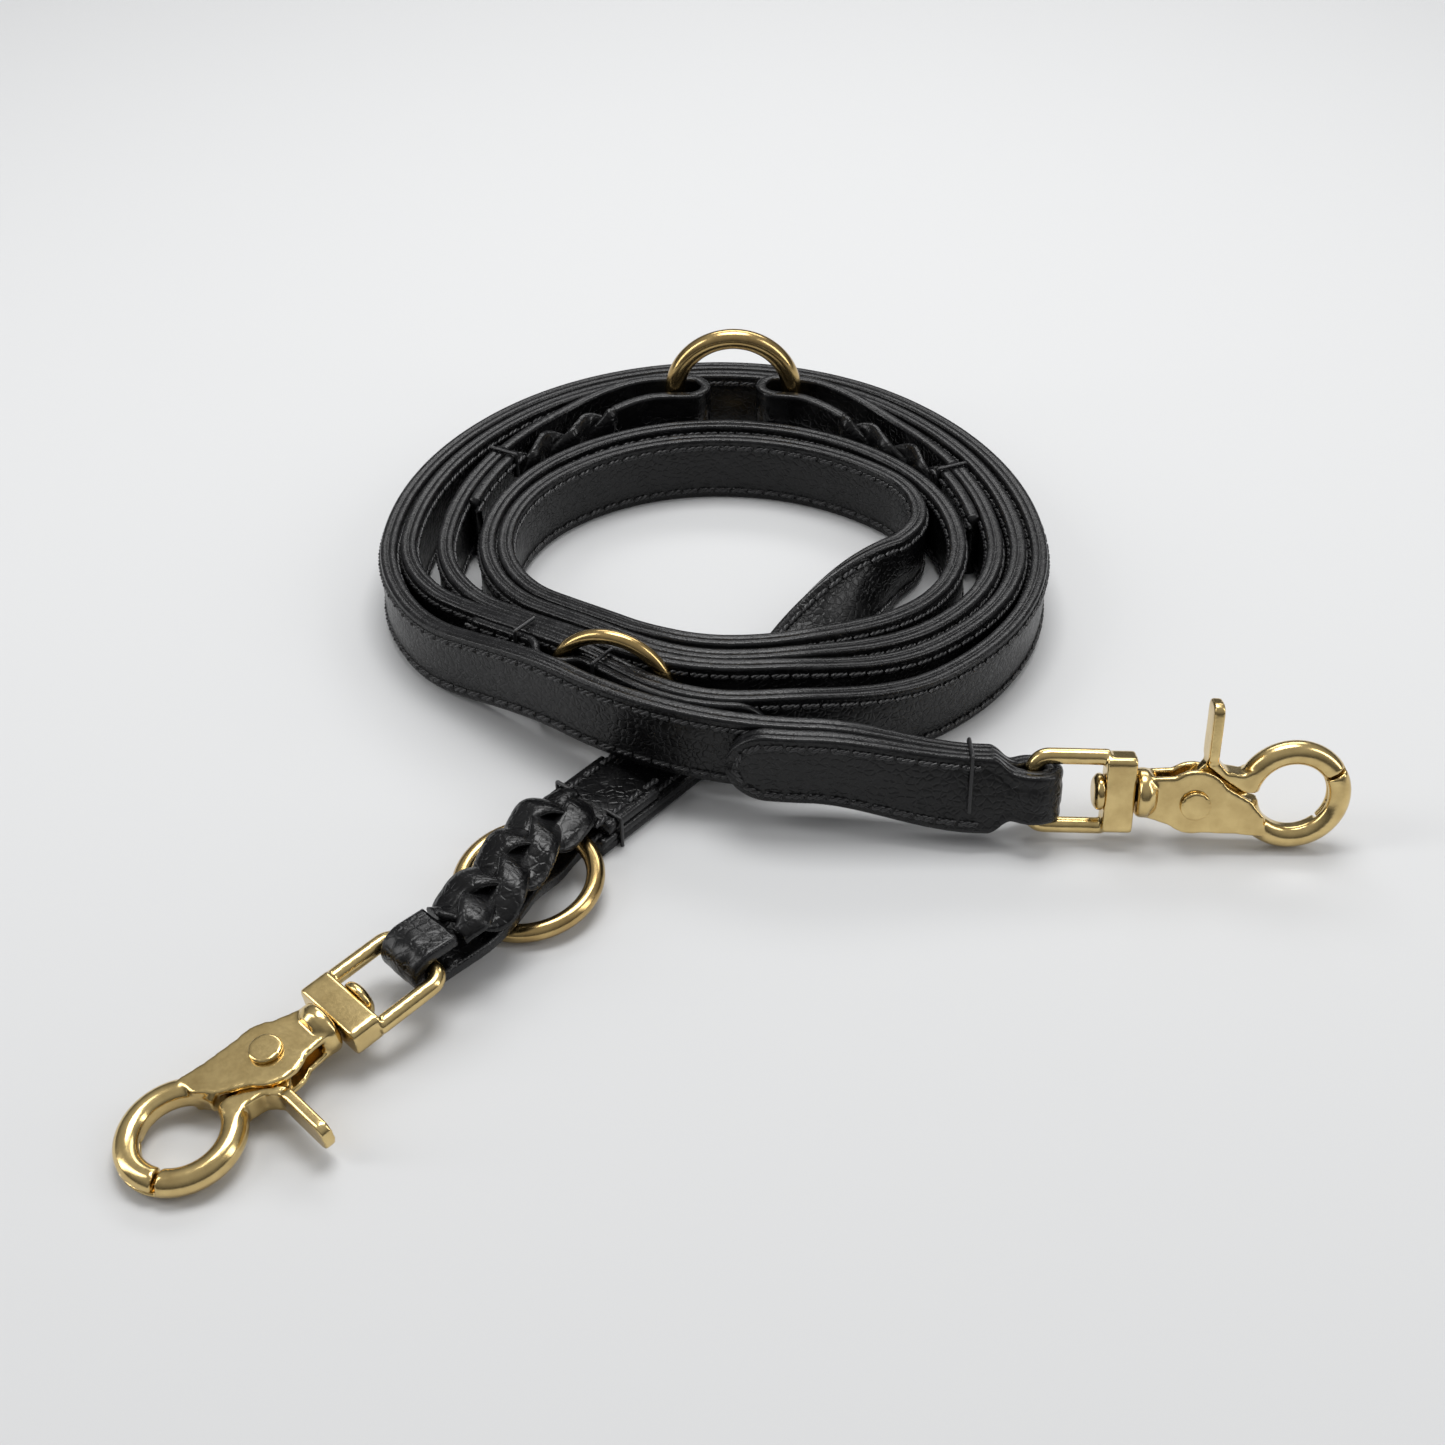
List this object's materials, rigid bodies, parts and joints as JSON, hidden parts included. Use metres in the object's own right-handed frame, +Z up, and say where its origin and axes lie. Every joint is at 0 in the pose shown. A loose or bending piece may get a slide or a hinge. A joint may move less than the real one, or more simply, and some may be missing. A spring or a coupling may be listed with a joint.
{
  "type": "leather reins",
  "caption": "Coiled black leather clip-on rein with stitched straps, braided ends, brass rings and a swivel trigger snap at either end",
  "frame": {"origin": "centre of the bounding box in plan, on the floor", "axes": "+Z up, +X towards the right snap, -Y towards the viewer"},
  "size_m": [0.2712, 0.306, 0.0421],
  "materials": {
    "strap_leather": "black pebble-grain leather, waxed",
    "braided_leather": "black smooth leather, slightly creased",
    "ring_brass": "polished brass, slightly brown",
    "snap_brass": "polished cast brass",
    "spring_steel": "bright spring wire",
    "thread": "waxed black twisted thread"
  },
  "bodies": {
    "leather": {"back_left_loop": "braided_leather", "back_left_strand_1": "braided_leather", "back_left_strand_2": "braided_leather", "back_left_strand_3": "braided_leather", "back_left_tail": "braided_leather", "back_right_loop": "braided_leather", "back_right_strand_1": "braided_leather", "back_right_strand_2": "braided_leather", "back_right_strand_3": "braided_leather", "back_right_tail": "braided_leather", "left_end_fold": "braided_leather", "left_end_strand_1": "braided_leather", "left_end_strand_2": "braided_leather", "left_end_strand_3": "braided_leather", "left_end_tail": "braided_leather", "long_strap_lining_ply": "strap_leather", "long_strap_outer_ply": "strap_leather", "ring_keeper": "braided_leather", "short_strap_lining_ply": "strap_leather", "short_strap_outer_ply": "strap_leather", "tack_back_left": "thread", "tack_back_right": "thread", "tack_keeper_back": "thread", "tack_keeper_front": "thread", "tack_left_end_far": "thread", "tack_left_end_near": "thread", "tack_right_end": "thread"},
    "back_ring_body": {"back_ring": "ring_brass"},
    "front_ring_body": {"front_ring": "ring_brass"},
    "braid_ring_body": {"braid_ring": "ring_brass"},
    "right_eye_body": {"right_snap_eye": "snap_brass"},
    "right_snap_body_group": {"right_snap_body": "snap_brass", "right_snap_rivet": "snap_brass", "right_snap_spring": "spring_steel"},
    "right_lever_body": {"right_snap_lever": "snap_brass"},
    "left_eye_body": {"left_snap_eye": "snap_brass"},
    "left_snap_body_group": {"left_snap_body": "snap_brass", "left_snap_rivet": "snap_brass", "left_snap_spring": "spring_steel"},
    "left_lever_body": {"left_snap_lever": "snap_brass"}
  },
  "joints": [
    {"name": "back_ring_turn", "type": "hinge", "parent": "leather", "child": "back_ring_body", "pos_m": [-0.00962, 0.13177, 0.02114], "axis": [0, 1, 0], "continuous": true},
    {"name": "front_ring_turn", "type": "hinge", "parent": "leather", "child": "front_ring_body", "pos_m": [-0.04056, -0.00878, 0.01694], "axis": [-0.279, -0.9603, 0], "continuous": true},
    {"name": "braid_ring_turn", "type": "hinge", "parent": "leather", "child": "braid_ring_body", "pos_m": [-0.058, -0.06569, 0.00441], "axis": [-0.0835, -0.0995, 0.9915], "continuous": true},
    {"name": "right_eye_swing", "type": "hinge", "parent": "leather", "child": "right_eye_body", "pos_m": [0.06058, -0.04453, 0.01344], "axis": [0.0096, 0.2755, 0.9613], "range_deg": [-25, 25]},
    {"name": "right_swivel", "type": "hinge", "parent": "right_eye_body", "child": "right_snap_body_group", "pos_m": [0.08487, -0.04538, 0.01344], "axis": [0.9994, -0.0349, 0], "continuous": true},
    {"name": "right_lever_open", "type": "hinge", "parent": "right_snap_body_group", "child": "right_lever_body", "pos_m": [0.09865, -0.04627, 0.012], "axis": [-0.0335, -0.9607, 0.2756], "range_deg": [0, 28], "stiffness_Nm_per_rad": 0.08, "springref_deg": -14.32},
    {"name": "left_eye_swing", "type": "hinge", "parent": "leather", "child": "left_eye_body", "pos_m": [-0.07906, -0.09593, 0.01094], "axis": [0.7059, -0.7083, 0], "range_deg": [-25, 25]},
    {"name": "left_swivel", "type": "hinge", "parent": "left_eye_body", "child": "left_snap_body_group", "pos_m": [-0.09617, -0.11298, 0.00831], "axis": [-0.7042, -0.7017, -0.108], "continuous": true},
    {"name": "left_lever_open", "type": "hinge", "parent": "left_snap_body_group", "child": "left_lever_body", "pos_m": [-0.10695, -0.1216, 0.00683], "axis": [-0.0765, -0.0762, 0.9942], "range_deg": [0, 28], "stiffness_Nm_per_rad": 0.08, "springref_deg": -14.32}
  ]
}
